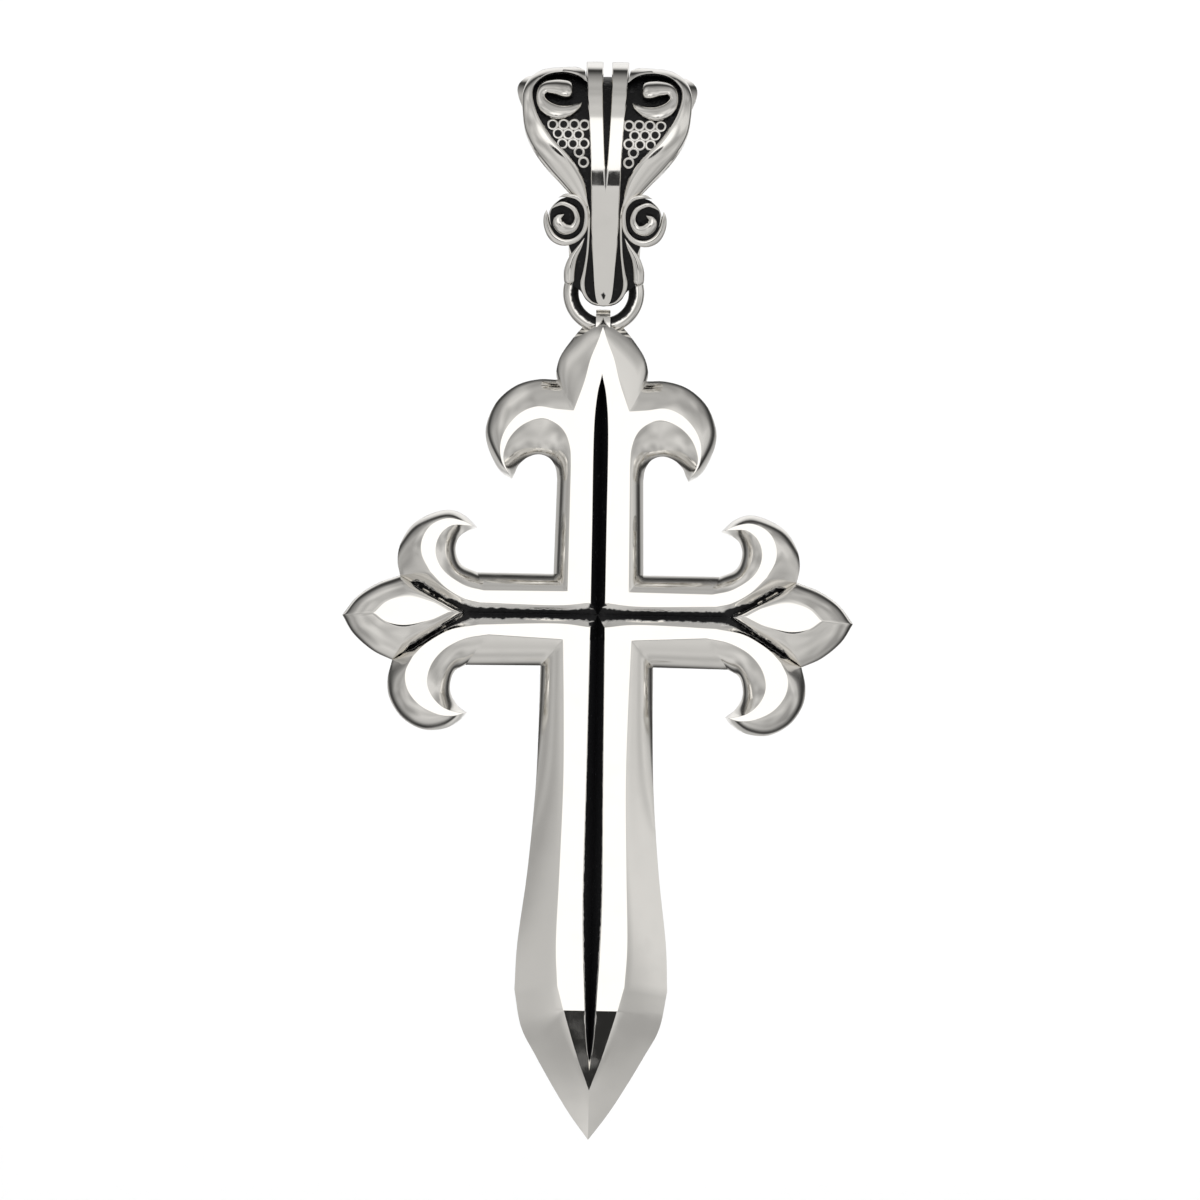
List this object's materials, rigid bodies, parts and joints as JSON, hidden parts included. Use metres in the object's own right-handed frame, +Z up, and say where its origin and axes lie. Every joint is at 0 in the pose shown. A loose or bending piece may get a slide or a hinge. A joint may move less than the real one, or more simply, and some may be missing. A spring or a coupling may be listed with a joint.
{
  "type": "cross pendant",
  "caption": "Fleury cross pendant with a dagger-shaped lower arm, hung by a link ring from an ornate folded scroll bail that a chain runs through.",
  "frame": {"origin": "middle of the bail's chain passage", "axes": "+Z up as the pendant hangs, -Y out of its front, +X to the right of someone who looks at the front"},
  "size_m": [0.0358, 0.0114, 0.0756],
  "materials": {
    "polished_silver": "hand-polished cast sterling silver",
    "oxidised_silver": "sterling silver blackened in the recesses and polished off the high spots"
  },
  "bodies": {
    "bail": {"bail_saddle": "oxidised_silver", "split_strap": "polished_silver", "heart_rim_left": "polished_silver", "heart_rim_right": "polished_silver", "heart_scroll_left": "polished_silver", "heart_scroll_right": "polished_silver", "neck_scroll_left": "polished_silver", "neck_scroll_right": "polished_silver", "inner_rail_left": "polished_silver", "inner_rail_right": "polished_silver", "outer_rail_left": "polished_silver", "outer_rail_right": "polished_silver"},
    "ring": {"link_ring": "polished_silver"},
    "cross": {"cross_body": "polished_silver", "petal_left": "polished_silver", "petal_right": "polished_silver", "ring_eye": "polished_silver"}
  },
  "joints": [
    {"name": "ring_swing", "type": "hinge", "parent": "bail", "child": "ring", "pos_m": [0, 0, -0.0082], "axis": [1, 0, 0], "range_deg": [-15, 15]},
    {"name": "cross_swing", "type": "hinge", "parent": "ring", "child": "cross", "pos_m": [0, 0, -0.0128], "axis": [1, 0, 0], "range_deg": [-8, 40]}
  ]
}
